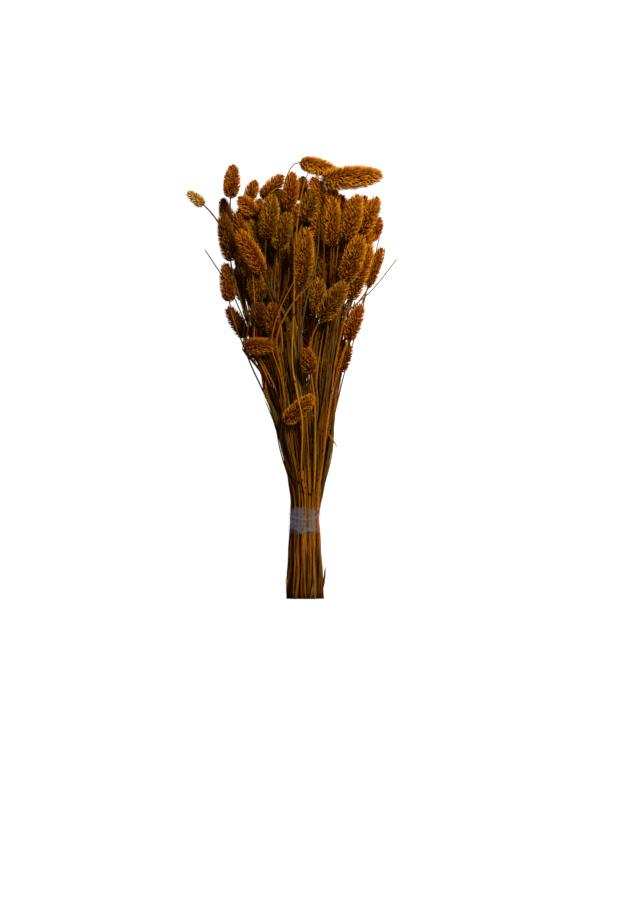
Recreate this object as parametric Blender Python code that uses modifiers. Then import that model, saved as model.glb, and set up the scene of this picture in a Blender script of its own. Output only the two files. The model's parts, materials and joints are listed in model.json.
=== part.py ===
"""A bunch of dried, dyed canary grass, taped together near its cut ends and laid on its side.

Every stalk is one grown piece: a thin straw that swells into a seed head. The tables are in
millimetres. Across is to the right of the bunch, along runs from the cut ends to the seed heads,
and height is above the surface that the bunch lies on.
"""

import bpy
import numpy as np

MM = 0.001

# The bunch
TAPE_ALONG = (64.0, 93.5)  # where the tape starts and ends
TAPE_WALL = 0.6
TAPE_SIDES = 24
WAIST_ALONG = 88.0  # where the bunch is narrowest
AXIS_HEIGHT = 18.0  # of the waist and of the cut ends
FOOT_SPREAD = 1.36  # the cut ends lie this much wider apart than the stems at the waist
STEM_PITCH = 3.15  # between neighbouring stems at the waist
STEM_RADIUS = 1.35  # at the cut end and at the waist
NECK_RADIUS = 0.95  # just below the seed head
FAN = 0.012  # how fast a stem leans out above the tape, for each millimetre off the axis

# A seed head: share of its length, and share of its greatest radius
HEAD_OUTLINE = ((0.05, 0.62), (0.25, 0.98), (0.58, 0.95), (0.86, 0.56), (1.0, 0.1))
HEAD_LIFT = 0.25  # how far a head leans up or down, towards the outside of the bunch
HEAD_AXIS_HEIGHT = 38.0

# Settling of the stems and heads against each other
CLEARANCE = 0.8
ROUNDS = 1100

COLOURS = {
    "grass_amber": (0.28, 0.095, 0.008),
    "grass_orange": (0.33, 0.085, 0.004),
    "grass_brown": (0.12, 0.034, 0.004),
    "grass_olive": (0.17, 0.088, 0.012),
    "grass_buff": (0.42, 0.24, 0.075),
    "leaf_olive": (0.075, 0.055, 0.013),
    "leaf_orange": (0.24, 0.085, 0.01),
    "tape_clear": (0.36, 0.33, 0.34),
}

# Head base across and along, head tip across and along, head width, height of the head, colour,
# then any points (across, along, height) that the bare stem passes through above the tape.
STALKS = (
    (-102, 394, -119, 408, 11, 45, "grass_buff", ((-74, 352, 36), (-90, 381, 42))),
    (-75, 402, -72, 437, 16, 38, "grass_orange", ()),
    (-58, 399, -50, 421, 13, 33, "grass_amber", ()),
    (-44, 401, -22, 426, 16, 36, "grass_amber", ()),
    (-17, 389, -13, 429, 15, 48, "grass_orange", ()),
    (-5, 437, 34, 427, 17, 44, "grass_amber", ((-25, 418, 44), (-22, 433, 46), (-14, 440, 46))),
    (16, 418, 79, 423, 23, 56, "grass_amber",
     ((-8, 246, 52), (-12, 290, 60), (-13, 351, 68), (-9, 378, 69), (-3, 400, 69), (4, 422, 65))),
    (27, 378, 19, 409, 15, 32, "grass_orange", ()),
    (-5, 399, -2, 425, 15, 35, "grass_brown", ()),
    (-2, 378, 15, 417, 18, 53, "grass_olive", ()),
    (33, 374, 35, 408, 16, 30, "grass_orange", ()),
    (26, 353, 27, 403, 19, 52, "grass_amber", ()),
    (41, 358, 53, 406, 18, 56, "grass_amber", ()),
    (54, 363, 73, 404, 17, 46, "grass_amber", ()),
    (51, 343, 67, 371, 15, 38, "grass_orange", ()),
    (39, 316, 56, 364, 20, 58, "grass_amber", ()),
    (45, 299, 66, 356, 15, 47, "grass_amber", ()),
    (62, 312, 77, 354, 11, 38, "grass_amber", ()),
    (42, 259, 56, 297, 14, 38, "grass_orange", ()),
    (14, 279, 41, 318, 19, 62, "grass_olive", ()),
    (12, 284, 14, 322, 16, 54, "grass_olive", ()),
    (-4, 310, 1, 372, 18, 66, "grass_amber", ()),
    (-13, 282, -17, 329, 14, 52, "grass_brown", ()),
    (-39, 360, -33, 404, 19, 52, "grass_olive", ()),
    (-29, 349, -18, 387, 17, 63, "grass_olive", ()),
    (-48, 381, -46, 403, 14, 36, "grass_amber", ()),
    (-50, 384, -67, 403, 16, 46, "grass_orange", ()),
    (-43, 351, -58, 382, 15, 41, "grass_olive", ()),
    (-42, 326, -67, 370, 17, 62, "grass_orange", ()),
    (-79, 380, -84, 404, 11, 19, "grass_brown", ()),
    (-76, 338, -84, 387, 16, 50, "grass_brown", ()),
    (-60, 299, -70, 334, 13, 32, "grass_brown", ()),
    (-75, 298, -79, 338, 15, 42, "grass_orange", ()),
    (-46, 299, -51, 328, 17, 51, "grass_olive", ()),
    (-60, 262, -79, 294, 14, 38, "grass_brown", ()),
    (-48, 274, -45, 299, 16, 52, "grass_brown", ()),
    (-33, 262, -33, 298, 14, 60, "grass_orange", ()),
    (-60, 252, -27, 253, 16, 60, "grass_orange", ((-31, 201, 42), (-43, 225, 50), (-58, 246, 58))),
    (-43, 238, -62, 262, 14, 44, "grass_olive", ()),
    (5, 226, 0, 252, 15, 63, "grass_orange", ()),
    (-21, 177, 9, 204, 16, 57, "grass_orange", ()),
    (-46, 360, -62, 400, 16, 12, "grass_brown", ()),
    (-22, 372, -28, 414, 17, 14, "grass_brown", ()),
    (9, 362, 12, 406, 17, 12, "grass_brown", ()),
    (38, 352, 50, 394, 16, 11, "grass_brown", ()),
    (53, 318, 66, 354, 15, 12, "grass_brown", ()),
    (-58, 322, -70, 356, 15, 10, "grass_brown", ()),
    (-28, 312, -34, 352, 17, 10, "grass_brown", ()),
    (2, 308, 4, 348, 17, 10, "grass_amber", ()),
    (30, 292, 38, 334, 16, 10, "grass_brown", ()),
    (-30, 256, -38, 294, 15, 12, "grass_brown", ()),
)

# Name, half width at the widest, colour, then the points (across, along, height) up to the tip.
STRAWS = (
    ("straw_upper_left", 0.75, "grass_brown",
     ((-40, 215, 22), (-60, 275, 24), (-82, 322, 26), (-101, 350, 28))),
    ("straw_right_hooked", 0.75, "grass_amber",
     ((24, 225, 30), (38, 282, 32), (56, 299, 33), (88, 332, 37), (91, 340, 39))),
    ("straw_right_long", 0.75, "grass_amber",
     ((37, 219, 20), (50, 265, 24), (62, 312, 26), (74, 363, 28))),
)
LEAVES = (
    ("leaf_left_edge", 2.6, "leaf_olive", ((-25, 170, 42), (-34, 191, 46), (-42, 210, 49))),
    ("leaf_right_edge", 2.0, "leaf_olive", ((19, 130, 30), (24, 151, 33), (28, 181, 37))),
    ("leaf_long_front", 1.7, "leaf_olive",
     ((-6, 240, 54), (-4, 271, 62), (3, 307, 72), (11, 337, 70), (14, 381, 66))),
    ("leaf_inner_left", 2.2, "leaf_olive",
     ((-14, 255, 50), (-19, 285, 54), (-33, 307, 54), (-35, 326, 54), (-30, 347, 53))),
    ("leaf_kinked_front", 1.5, "leaf_orange",
     ((-24, 225, 56), (-29, 256, 66), (-25, 279, 71), (-8, 299, 76), (9, 318, 78))),
)


def clear_scene():
    for obj in list(bpy.data.objects):
        bpy.data.objects.remove(obj, do_unlink=True)
    for block in (bpy.data.meshes, bpy.data.curves, bpy.data.materials):
        for item in list(block):
            block.remove(item)


def new_collection(name):
    collection = bpy.data.collections.new(name)
    bpy.context.scene.collection.children.link(collection)
    return collection


def material(slot, part_name):
    made = bpy.data.materials.new(f"{part_name}_{slot}")
    made.use_nodes = True
    shader = made.node_tree.nodes["Principled BSDF"]
    shader.inputs["Base Color"].default_value = (*COLOURS[slot], 1.0)
    shader.inputs["Metallic"].default_value = 0.0
    shader.inputs["Roughness"].default_value = 0.25 if slot == "tape_clear" else 0.75
    made.diffuse_color = (*COLOURS[slot], 1.0)
    return made


def stem_slots(count):
    """The places of the stems at the waist: a honeycomb, filled from its middle."""
    steps = np.arange(-9, 10)
    column, row = np.meshgrid(steps, steps)
    across = (column + 0.5 * (row % 2)) * STEM_PITCH
    height = row * STEM_PITCH * np.sqrt(0.75)
    places = np.stack([across.ravel() + 0.4, height.ravel() - 0.3], axis=1)
    nearest = np.argsort(np.hypot(places[:, 0], places[:, 1]), kind="stable")
    return places[nearest[:count]]


def share_out(slots, heights, leans):
    """Gives each stem a slot: the highest heads get the top rows, and each row is in order of lean."""
    rows = np.round(slots[:, 1], 3)
    order = np.argsort(heights, kind="stable")
    given = np.empty((len(slots), 2))
    taken = 0
    for row in np.unique(rows):
        row_slots = slots[rows == row]
        row_slots = row_slots[np.argsort(row_slots[:, 0])]
        members = order[taken:taken + len(row_slots)]
        taken += len(row_slots)
        members = members[np.argsort(leans[members], kind="stable")]
        given[members] = row_slots
    return given


def unit(vector):
    return vector / np.linalg.norm(vector)


def smooth_path(points, first_direction, last_direction, stations):
    """Evenly spaced stations on a smooth curve through the points, with the end directions given."""
    points = np.array(points, float)
    gaps = np.linalg.norm(np.diff(points, axis=0), axis=1)
    directions = np.zeros_like(points)
    for k in range(1, len(points) - 1):
        directions[k] = unit(points[k + 1] - points[k - 1])
    directions[0] = unit(first_direction)
    directions[-1] = unit(last_direction)
    t = np.linspace(0.0, 1.0, 25)[:, None]
    fine = [points[:1]]
    for k, gap in enumerate(gaps):
        start_pull = directions[k] * gap
        end_pull = directions[k + 1] * gap * (0.75 if k == len(gaps) - 1 else 1.0)
        piece = (
            (2 * t**3 - 3 * t**2 + 1) * points[k]
            + (t**3 - 2 * t**2 + t) * start_pull
            + (3 * t**2 - 2 * t**3) * points[k + 1]
            + (t**3 - t**2) * end_pull
        )
        fine.append(piece[1:])
    fine = np.concatenate(fine)
    travelled = np.concatenate([[0.0], np.cumsum(np.linalg.norm(np.diff(fine, axis=0), axis=1))])
    wanted = np.linspace(0.0, travelled[-1], stations)
    return np.stack([np.interp(wanted, travelled, fine[:, axis]) for axis in range(3)], axis=1)


def stem_start(slot):
    """The cut end, the middle of the taped waist, and the direction in which the stem leaves it."""
    foot = np.array([slot[0] * FOOT_SPREAD, 0.0, AXIS_HEIGHT + slot[1] * FOOT_SPREAD])
    waist = np.array([slot[0], WAIST_ALONG, AXIS_HEIGHT + slot[1]])
    return foot, waist, np.array([slot[0] * FAN, 1.0, slot[1] * FAN + 0.03])


def stalk_path(row, slot):
    """Points and radii of one stalk, and how many of its last points belong to the head."""
    base_across, base_along, tip_across, tip_along, width, height, _, through = row
    length = np.hypot(tip_across - base_across, tip_along - base_along)
    lift = HEAD_LIFT * length * (height - HEAD_AXIS_HEIGHT) / HEAD_AXIS_HEIGHT
    if through:
        lift = 0.0
    base = np.array([base_across, base_along, height - lift / 2], float)
    tip = np.array([tip_across, tip_along, height + lift / 2], float)
    foot, waist, leaving = stem_start(slot)
    stations = 5 + len(through)
    stem = smooth_path([waist, *through, base], leaving, tip - base, stations)
    shares = np.array([share for share, _ in HEAD_OUTLINE])[:, None]
    head = base + (tip - base) * shares
    stem_radii = np.linspace(STEM_RADIUS, NECK_RADIUS, stations)
    head_radii = [width / 2 * part for _, part in HEAD_OUTLINE]
    points = np.concatenate([[foot], stem, head])
    return points, np.array([STEM_RADIUS, *stem_radii, *head_radii]), 1 + len(HEAD_OUTLINE)


def bare_path(row, slot, waist_radius, tip_radius):
    """Points and radii of a straw or a leaf blade, which has no head."""
    _, half_width, _, through = row
    foot, waist, leaving = stem_start(slot)
    last = np.array(through[-1], float) - np.array(through[-2], float)
    stations = 3 + len(through)
    blade = smooth_path([waist, *through], leaving, last, stations)
    share = np.linspace(0.0, 1.0, stations)
    widths = (waist_radius, half_width, half_width, tip_radius)
    radii = np.interp(share, (0.0, 0.45, 0.8, 1.0), widths)
    return np.concatenate([[foot], blade]), np.array([waist_radius, *radii]), 0


def nearest_shares(p, pd, q, qd):
    """For pairs of segments from p along pd and from q along qd: how far along each they come nearest."""
    between = p - q
    pp = np.sum(pd * pd, axis=1)
    qq = np.sum(qd * qd, axis=1)
    pq = np.sum(pd * qd, axis=1)
    p_gap = np.sum(pd * between, axis=1)
    q_gap = np.sum(qd * between, axis=1)
    across = np.maximum(pp * qq - pq * pq, 1e-9)
    s = np.clip((pq * q_gap - p_gap * qq) / across, 0.0, 1.0)
    t = np.clip((pq * s + q_gap) / qq, 0.0, 1.0)
    return np.clip((pq * t - p_gap) / pp, 0.0, 1.0), t


def settle(paths):
    """Moves stems and heads apart until they only just clear each other, mostly up or down."""
    counts = [len(points) for points, _, _ in paths]
    home = np.concatenate([points for points, _, _ in paths])
    radii = np.concatenate([radii for _, radii, _ in paths])
    owner = np.repeat(np.arange(len(paths)), counts)
    firsts = np.concatenate([[0], np.cumsum(counts)[:-1]])
    starts = np.flatnonzero(owner[:-1] == owner[1:])
    held = np.concatenate([firsts, firsts + 1])
    inner = np.setdiff1d(starts[1:][np.diff(starts) == 1], held)
    first, second = np.triu_indices(len(starts), k=1)
    other = owner[starts[first]] != owner[starts[second]]
    first, second = first[other], second[other]
    place = home.copy()
    for turn in range(ROUNDS):
        ends = place[starts + 1]
        if turn % 10 == 0:
            middles = (place[starts] + ends) / 2
            reach = np.linalg.norm(ends - place[starts], axis=1) / 2
            reach += np.maximum(radii[starts], radii[starts + 1])
            far = np.linalg.norm(middles[first] - middles[second], axis=1)
            near = far < reach[first] + reach[second] + 6.0
            a, b = starts[first[near]], starts[second[near]]
        s, t = nearest_shares(place[a], place[a + 1] - place[a], place[b], place[b + 1] - place[b])
        s, t = s[:, None], t[:, None]
        apart = place[a] * (1 - s) + place[a + 1] * s - place[b] * (1 - t) - place[b + 1] * t
        distance = np.linalg.norm(apart, axis=1)[:, None]
        wanted = radii[a, None] * (1 - s) + radii[a + 1, None] * s
        wanted = wanted + radii[b, None] * (1 - t) + radii[b + 1, None] * t + CLEARANCE
        short = np.maximum(wanted - distance, 0.0)
        push = apart / np.maximum(distance, 1e-6) * short * (0.3, 0.3, 0.75)
        moved = np.zeros_like(place)
        np.add.at(moved, a, push * (1 - s))
        np.add.at(moved, a + 1, push * s)
        np.add.at(moved, b, -push * (1 - t))
        np.add.at(moved, b + 1, -push * t)
        longest = np.linalg.norm(moved, axis=1)[:, None]
        place += moved * np.minimum(1.0, 1.5 / np.maximum(longest, 1e-6))
        shift = place - home
        shift *= (0.985, 0.985, 0.998)
        smoother = shift.copy()
        smoother[inner] += 0.12 * (shift[inner - 1] + shift[inner + 1] - 2 * shift[inner])
        shift = smoother
        for k, (_, _, head) in enumerate(paths):
            if head:
                last = firsts[k] + counts[k]
                shift[last - head:last] = shift[last - head:last].mean(axis=0)
        shift[held] = 0.0
        place = home + shift
        place[:, 2] = np.maximum(place[:, 2], radii + 0.05)
    return np.split(place, firsts[1:]), short.max()


def add_curve(name, slot, points, radii, collection, profile=None, roundness=2):
    """A curve of straight pieces, with round sides or with the sides of the profile."""
    curve = bpy.data.curves.new(name, "CURVE")
    curve.dimensions = "3D"
    curve.twist_mode = "Z_UP"
    curve.use_fill_caps = True
    if profile is None:
        curve.bevel_depth = MM
        curve.bevel_resolution = roundness
    else:
        curve.bevel_mode = "OBJECT"
        curve.bevel_object = profile
    spline = curve.splines.new("POLY")
    spline.points.add(len(points) - 1)
    spline.points.foreach_set("co", np.column_stack([points * MM, np.ones(len(points))]).ravel())
    spline.points.foreach_set("radius", radii)
    spline.use_smooth = True
    obj = bpy.data.objects.new(name, curve)
    obj.data.materials.append(material(slot, name))
    collection.objects.link(obj)
    return obj


def blade_profile(collection):
    """The flat, slightly swollen section of a leaf blade, two units wide."""
    half = ((-1.0, 0.0), (-0.5, 0.11), (0.5, 0.11), (1.0, 0.0), (0.5, -0.11), (-0.5, -0.11))
    curve = bpy.data.curves.new("blade_section", "CURVE")
    curve.dimensions = "2D"
    curve.fill_mode = "NONE"
    spline = curve.splines.new("POLY")
    spline.points.add(len(half) - 1)
    for point, (x, y) in zip(spline.points, half):
        point.co = (x * MM, y * MM, 0.0, 1.0)
    spline.use_cyclic_u = True
    obj = bpy.data.objects.new("blade_section", curve)
    obj.hide_render = True
    obj.display_type = "WIRE"
    collection.objects.link(obj)
    return obj


def ends_of(collection):
    """The lowest and highest corner of everything in the collection, in metres."""
    bpy.context.view_layer.update()
    graph = bpy.context.evaluated_depsgraph_get()
    corners = []
    for obj in collection.objects:
        evaluated = obj.evaluated_get(graph)
        mesh = evaluated.to_mesh()
        points = np.empty(len(mesh.vertices) * 3)
        mesh.vertices.foreach_get("co", points)
        turned = points.reshape(-1, 3) @ np.array(obj.matrix_world.to_3x3()).T
        placed = turned + np.array(obj.matrix_world.translation)
        corners.append([placed.min(axis=0), placed.max(axis=0)])
        evaluated.to_mesh_clear()
    corners = np.array(corners)
    return corners[:, 0].min(axis=0), corners[:, 1].max(axis=0)


def tape_band(radius, centre, collection):
    """A ring of tape: one upright rectangle, turned round the axis of the bunch."""
    inner, outer = radius * MM, (radius + TAPE_WALL) * MM
    low, high = TAPE_ALONG[0] * MM, TAPE_ALONG[1] * MM
    corners = [(inner, 0, low), (outer, 0, low), (outer, 0, high), (inner, 0, high)]
    mesh = bpy.data.meshes.new("tape_band")
    mesh.from_pydata(corners, [(0, 1), (1, 2), (2, 3), (3, 0)], [])
    obj = bpy.data.objects.new("tape_band", mesh)
    turn = obj.modifiers.new("turn", "SCREW")
    turn.axis = "Z"
    turn.steps = TAPE_SIDES
    turn.render_steps = TAPE_SIDES
    turn.use_merge_vertices = True
    turn.merge_threshold = 0.00005
    turn.use_normal_flip = True
    obj.rotation_euler = (-np.pi / 2, 0.0, 0.0)
    obj.location = (centre[0] * MM, centre[1] * MM, centre[2] * MM)
    mesh.materials.append(material("tape_clear", "tape_band"))
    collection.objects.link(obj)
    return obj


def build():
    clear_scene()
    parts = new_collection("bunch_of_dried_canary_grass")
    helpers = new_collection("cutters")
    rows = [*STALKS, *STRAWS, *LEAVES]
    bare = [False] * len(STALKS) + [True] * (len(STRAWS) + len(LEAVES))
    middles = [np.array(row[3][1]) if is_bare else np.array((row[0], row[1], row[5]))
               for row, is_bare in zip(rows, bare)]
    heights = np.array([middle[2] for middle in middles], float)
    leans = np.array([middle[0] / (middle[1] - WAIST_ALONG) for middle in middles])
    slots = share_out(stem_slots(len(rows)), heights, leans)
    paths = []
    for index, row in enumerate(rows):
        if not bare[index]:
            paths.append(stalk_path(row, slots[index]))
        elif index < len(STALKS) + len(STRAWS):
            paths.append(bare_path(row, slots[index], 1.0, 0.35))
        else:
            paths.append(bare_path(row, slots[index], 1.3, 0.5))
    places, left_over = settle(paths)
    print(f"largest overlap left after settling: {left_over:.3f} mm")

    profile = blade_profile(helpers)
    for index, (row, place) in enumerate(zip(rows, places)):
        radii = paths[index][1]
        if not bare[index]:
            add_curve(f"stalk_{index + 1:02d}", row[6], place, radii, parts)
        elif index < len(STALKS) + len(STRAWS):
            add_curve(row[0], row[2], place, radii, parts, roundness=1)
        else:
            add_curve(row[0], row[2], place, radii, parts, profile)
    widest = 0.0
    for place in places:
        for along in np.linspace(*TAPE_ALONG, 9):
            across = np.interp(along, place[:, 1], place[:, 0])
            height = np.interp(along, place[:, 1], place[:, 2]) - AXIS_HEIGHT
            widest = max(widest, np.hypot(across, height))
    tape_band(widest + STEM_RADIUS + 0.35, (0.0, 0.0, AXIS_HEIGHT), parts)

    low, high = ends_of(parts)
    middle = (low + high) / 2
    for obj in parts.objects:
        obj.location.x -= middle[0]
        obj.location.y -= middle[1]
        obj.location.z -= low[2]


build()
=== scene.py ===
"""Looks for a bunch of dried, dyed canary grass, held by clear tape and laid on a pale table.

Every shape is worked out as arrays: a profile carried along a line, or one small form repeated
round a line. The lines come from the solids of the frame, or run between those that do. Sizes are
in millimetres until the mesh is made, which is in metres.
"""

import json

import bpy
import numpy as np
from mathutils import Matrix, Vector


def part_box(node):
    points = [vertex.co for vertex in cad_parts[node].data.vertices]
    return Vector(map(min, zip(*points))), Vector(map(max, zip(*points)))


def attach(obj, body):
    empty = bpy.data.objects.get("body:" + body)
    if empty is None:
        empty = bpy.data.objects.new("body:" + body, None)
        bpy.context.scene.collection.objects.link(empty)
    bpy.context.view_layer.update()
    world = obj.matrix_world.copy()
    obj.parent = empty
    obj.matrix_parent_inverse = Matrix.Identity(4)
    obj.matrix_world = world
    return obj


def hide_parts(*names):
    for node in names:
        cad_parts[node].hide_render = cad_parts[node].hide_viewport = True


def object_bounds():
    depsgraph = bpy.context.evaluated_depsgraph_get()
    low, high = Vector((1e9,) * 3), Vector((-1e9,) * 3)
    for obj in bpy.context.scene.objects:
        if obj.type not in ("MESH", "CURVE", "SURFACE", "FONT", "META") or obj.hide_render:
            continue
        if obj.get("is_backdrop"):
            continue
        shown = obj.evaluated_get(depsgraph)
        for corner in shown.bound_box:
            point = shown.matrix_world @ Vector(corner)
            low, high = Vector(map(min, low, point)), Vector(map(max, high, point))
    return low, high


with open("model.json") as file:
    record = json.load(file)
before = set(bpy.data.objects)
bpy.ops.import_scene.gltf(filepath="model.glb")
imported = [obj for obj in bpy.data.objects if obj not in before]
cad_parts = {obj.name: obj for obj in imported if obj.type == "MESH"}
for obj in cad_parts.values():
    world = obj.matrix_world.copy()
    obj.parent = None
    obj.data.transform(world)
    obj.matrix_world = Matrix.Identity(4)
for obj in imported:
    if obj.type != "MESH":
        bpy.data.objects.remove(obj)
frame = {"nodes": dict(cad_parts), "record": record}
cad_low, cad_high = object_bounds()
MM = 0.001
STALK_COUNT = 51
HEAD_RINGS = 5  # rings of corners that each stalk's solid has on its seed head
HEAD_STEPS = 24  # points on the line of a seed head
RECORD_SLOTS = {row["node"]: row["material_slot"] for row in frame["record"]["subparts"]}


# -------------------- colour and materials
def linear(hex_colour):
    """An sRGB hex colour as linear red, green, blue and alpha."""
    srgb = np.array([int(hex_colour[k:k + 2], 16) for k in (1, 3, 5)]) / 255.0
    low, high = srgb / 12.92, ((srgb + 0.055) / 1.055) ** 2.4
    return (*np.where(srgb <= 0.04045, low, high).tolist(), 1.0)


def node(tree, kind, settings=None, **links):
    """Adds a node, sets its properties and sockets, and links the sockets given by name, or by
    number as i0, i1 and so on."""
    made = tree.nodes.new(kind)
    for name, value in (settings or {}).items():
        if name in made.inputs:
            made.inputs[name].default_value = value
        else:
            setattr(made, name, value)
    for name, source in links.items():
        tree.links.new(source, made.inputs[int(name[1:])] if name[0] == "i" else made.inputs[name])
    return made


def new_material(name):
    made = bpy.data.materials.new(name)
    made.use_nodes = True
    made.node_tree.nodes.clear()
    return made, made.node_tree


def set_ramp(ramp, stops):
    """Colour stops (place, hex colour) of a ramp node."""
    band = ramp.color_ramp
    while len(band.elements) < len(stops):
        band.elements.new(0.5)
    for element, (place, colour) in zip(band.elements, stops):
        element.position = place
        element.color = linear(colour)


def dried_grass(name, stops, roughness, streak, sheen, uneven):
    """Dyed dry grass tissue: papery and matt, darker at the root of a husk, partly its own deeper
    brown and partly painted shade deep in the head.

    The colour runs along each husk or straw by its "reach", and each one is lighter or darker by
    its
    "tone", which for most pieces also carries painted light and shade by where they lie in the
    bunch.
    Streaks of dye, so many millimetres across, along and up, make it as uneven as that.
    A papery surface has next to no sheen.
    """
    made, tree = new_material(name)
    reach = node(tree, "ShaderNodeAttribute", {"attribute_name": "reach"})
    tone = node(tree, "ShaderNodeAttribute", {"attribute_name": "tone"})
    place = node(tree, "ShaderNodeTexCoord")
    ramp = node(tree, "ShaderNodeValToRGB", i0=reach.outputs["Fac"])
    set_ramp(ramp, stops)
    stretched = node(
        tree, "ShaderNodeMapping", {"Scale": tuple(1.0 / (size * MM) for size in streak)},
        Vector=place.outputs["Object"],
    )
    streaks = node(
        tree, "ShaderNodeTexNoise", {"Scale": 1.0, "Detail": 2.0, "Roughness": 0.6},
        Vector=stretched.outputs["Vector"],
    )
    streak_value = node(
        tree, "ShaderNodeMapRange",
        {"From Min": 0.3, "From Max": 0.7, "To Min": -uneven, "To Max": uneven},
        Value=streaks.outputs["Fac"],
    )
    tone_value = node(
        tree, "ShaderNodeMapRange", {"To Min": 0.45, "To Max": 1.55}, Value=tone.outputs["Fac"],
    )
    total = node(
        tree, "ShaderNodeMath", {"operation": "ADD"},
        i0=tone_value.outputs["Result"], i1=streak_value.outputs["Result"],
    )
    tinted = node(
        tree, "ShaderNodeHueSaturation", Color=ramp.outputs["Color"], Value=total.outputs["Value"],
    )
    surface = node(
        tree, "ShaderNodeBsdfPrincipled",
        {"Roughness": roughness, "Metallic": 0.0, "IOR": 1.45, "Specular IOR Level": sheen},
    )
    tree.links.new(tinted.outputs["Color"], surface.inputs["Base Color"])
    node(tree, "ShaderNodeOutputMaterial", Surface=surface.outputs["BSDF"])
    return made


def clear_tape():
    """Clear polypropylene tape: a thin glossy film, with grey areas painted on it as reflections of
    the bright room.

    Its "tone" is how much it covers, mostly painted reflection, and its "reach" goes from a cool to
    a warm grey.
    """
    made, tree = new_material("clear_polypropylene_tape")
    reach = node(tree, "ShaderNodeAttribute", {"attribute_name": "reach"})
    tone = node(tree, "ShaderNodeAttribute", {"attribute_name": "tone"})
    place = node(tree, "ShaderNodeTexCoord")
    grey = node(tree, "ShaderNodeValToRGB", i0=reach.outputs["Fac"])
    set_ramp(grey, ((0.0, "#726b74"), (1.0, "#7d735f")))
    cloudy = node(
        tree, "ShaderNodeTexNoise", {"Scale": 1.0 / (2.5 * MM), "Detail": 3.0, "Roughness": 0.65},
        Vector=place.outputs["Object"],
    )
    cloud_value = node(
        tree, "ShaderNodeMapRange",
        {"From Min": 0.3, "From Max": 0.7, "To Min": 0.6, "To Max": 1.4},
        Value=cloudy.outputs["Fac"],
    )
    cover = node(
        tree, "ShaderNodeMath", {"operation": "MULTIPLY"},
        i0=tone.outputs["Fac"], i1=cloud_value.outputs["Result"],
    )
    surface = node(
        tree, "ShaderNodeBsdfPrincipled",
        {"Roughness": 0.25, "IOR": 1.49, "Metallic": 0.0, "Specular IOR Level": 0.35},
        Alpha=cover.outputs["Value"],
    )
    tree.links.new(grey.outputs["Color"], surface.inputs["Base Color"])
    node(tree, "ShaderNodeOutputMaterial", Surface=surface.outputs["BSDF"])
    return made


# Colour of a husk from its root to its tip, for each dye bath. The dark root is partly its own
# deeper brown and partly painted shade, as deep in the head; the golden tip is partly the paler
# papery tip and partly painted highlight.
HUSK_STOPS = {
    "grass_amber": ((0.0, "#150700"), (0.42, "#5c2b02"), (0.75, "#9e5908"), (1.0, "#e2961a")),
    "grass_orange": ((0.0, "#160600"), (0.42, "#5d2802"), (0.75, "#9f5207"), (1.0, "#de8a12")),
    "grass_brown": ((0.0, "#0f0500"), (0.42, "#411d02"), (0.75, "#763e05"), (1.0, "#ad6a0d")),
    "grass_olive": ((0.0, "#130800"), (0.42, "#532d02"), (0.75, "#915909"), (1.0, "#cf8c16")),
    "grass_buff": ((0.0, "#4a2a06"), (0.42, "#936020"), (0.75, "#c6954a"), (1.0, "#e6c283")),
}
# Colour of a straw or a blade: at a joint, at the cut end, half way and at its tip
STRAW_STOPS = {
    "grass_amber": ((0.0, "#1f0f00"), (0.3, "#5a3103"), (0.52, "#8c4f05"), (1.0, "#6a4006")),
    "grass_orange": ((0.0, "#210e00"), (0.3, "#602e02"), (0.52, "#934e04"), (1.0, "#6e3c05")),
    "grass_brown": ((0.0, "#120700"), (0.3, "#3b1b01"), (0.52, "#572a02"), (1.0, "#442403")),
    "grass_olive": ((0.0, "#140d00"), (0.3, "#3f2905"), (0.52, "#5a3e0a"), (1.0, "#4e3a12")),
    "grass_buff": ((0.0, "#4a2c08"), (0.3, "#8f6124"), (0.55, "#966829"), (1.0, "#a87b3c")),
    "leaf_olive": ((0.0, "#181204"), (0.3, "#3c2c09"), (0.55, "#46340b"), (1.0, "#4f3f16")),
    "leaf_orange": ((0.0, "#2e1502"), (0.3, "#6b3802"), (0.55, "#7a4204"), (1.0, "#7c4d0e")),
}
HUSKS = {
    slot: dried_grass(f"dyed_husks_{slot}", stops, 0.7, (1.6, 1.6, 1.6), 0.03, 0.25)
    for slot, stops in HUSK_STOPS.items()
}
STRAW = {
    slot: dried_grass(f"dyed_straw_{slot}", stops, 0.6, (0.8, 22.0, 0.8), 0.03, 0.4)
    for slot, stops in STRAW_STOPS.items()
}
PITH_STOPS = ((0.0, "#7d5a28"), (1.0, "#a07a3c"))
PITH = dried_grass("pale_straw_pith", PITH_STOPS, 0.8, (0.6, 0.6, 0.6), 0.03, 0.2)
TAPE = clear_tape()


# -------------------- lines taken from the solids
CUT_END = 0.4  # a corner this close to a solid's lowest place belongs to its cut end


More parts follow.
